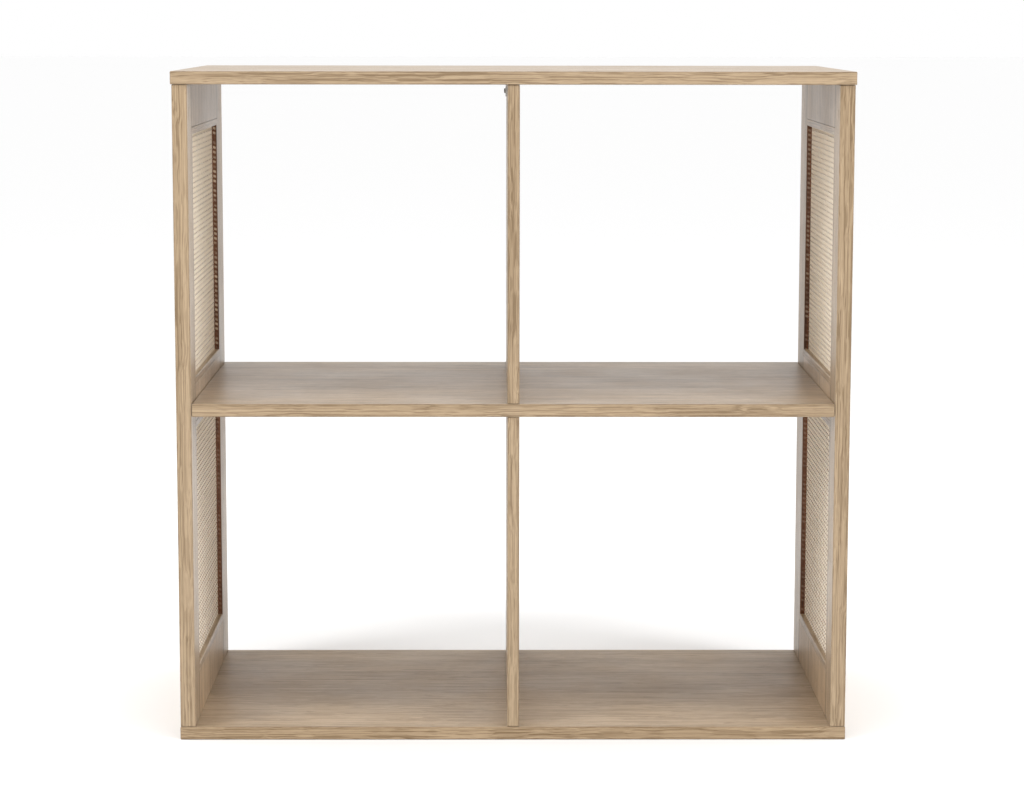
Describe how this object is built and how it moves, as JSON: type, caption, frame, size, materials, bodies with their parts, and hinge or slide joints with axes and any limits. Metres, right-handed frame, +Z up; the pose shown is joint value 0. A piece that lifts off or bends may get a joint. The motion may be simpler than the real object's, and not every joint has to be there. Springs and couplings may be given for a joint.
{
  "type": "cube storage unit",
  "caption": "Open-backed shelving unit with square compartments in oak-finished board, its framed sides filled with woven cane windows.",
  "frame": {"origin": "on the floor, below the middle of the unit's outline", "axes": "+Z up, +X to the unit's right seen from the front, -Y out of the open front"},
  "size_m": [0.783, 0.408, 0.78],
  "materials": {
    "oak_board": "oak-grain foil on particle board, matt, edges banded to match",
    "oak_frame": "oak-grain foil on fibreboard frame members, matt",
    "oak_bead": "oak-toned moulding, with a dark brown stained edge facing into the window",
    "woven_cane": "natural split cane in an open square weave, uncoated",
    "zinc_cam": "die-cast zinc, dull",
    "zinc_brace": "zinc-plated pressed steel",
    "steel_fastener": "bright zinc-plated steel",
    "beech_dowel": "raw beech, unfinished"
  },
  "bodies": {
    "root": {"top_panel": "oak_board", "bottom_panel": "oak_board", "middle_shelf": "oak_board", "upper_divider": "oak_board", "lower_divider": "oak_board", "left_front_stile": "oak_frame", "left_back_stile": "oak_frame", "right_front_stile": "oak_frame", "right_back_stile": "oak_frame", "left_top_rail": "oak_frame", "left_middle_rail": "oak_frame", "left_bottom_rail": "oak_frame", "right_top_rail": "oak_frame", "right_middle_rail": "oak_frame", "right_bottom_rail": "oak_frame", "left_upper_front_bead": "oak_bead", "left_upper_back_bead": "oak_bead", "left_upper_top_bead": "oak_bead", "left_upper_bottom_bead": "oak_bead", "left_lower_front_bead": "oak_bead", "left_lower_back_bead": "oak_bead", "left_lower_top_bead": "oak_bead", "left_lower_bottom_bead": "oak_bead", "right_upper_front_bead": "oak_bead", "right_upper_back_bead": "oak_bead", "right_upper_top_bead": "oak_bead", "right_upper_bottom_bead": "oak_bead", "right_lower_front_bead": "oak_bead", "right_lower_back_bead": "oak_bead", "right_lower_top_bead": "oak_bead", "right_lower_bottom_bead": "oak_bead", "left_upper_cane_panel": "woven_cane", "left_lower_cane_panel": "woven_cane", "right_upper_cane_panel": "woven_cane", "right_lower_cane_panel": "woven_cane", "left_front_cam_lock": "zinc_cam", "left_back_cam_lock": "zinc_cam", "right_front_cam_lock": "zinc_cam", "right_back_cam_lock": "zinc_cam", "left_front_cam_bolt": "steel_fastener", "left_back_cam_bolt": "steel_fastener", "right_front_cam_bolt": "steel_fastener", "right_back_cam_bolt": "steel_fastener", "left_front_base_screw": "steel_fastener", "left_back_base_screw": "steel_fastener", "right_front_base_screw": "steel_fastener", "right_back_base_screw": "steel_fastener", "divider_front_base_screw": "steel_fastener", "divider_back_base_screw": "steel_fastener", "left_front_shelf_screw": "steel_fastener", "left_back_shelf_screw": "steel_fastener", "right_front_shelf_screw": "steel_fastener", "right_back_shelf_screw": "steel_fastener", "front_top_dowel": "beech_dowel", "back_top_dowel": "beech_dowel", "front_shelf_dowel": "beech_dowel", "back_shelf_dowel": "beech_dowel", "divider_brace": "zinc_brace", "brace_screw_top": "steel_fastener", "brace_screw_divider": "steel_fastener"}
  },
  "joints": []
}
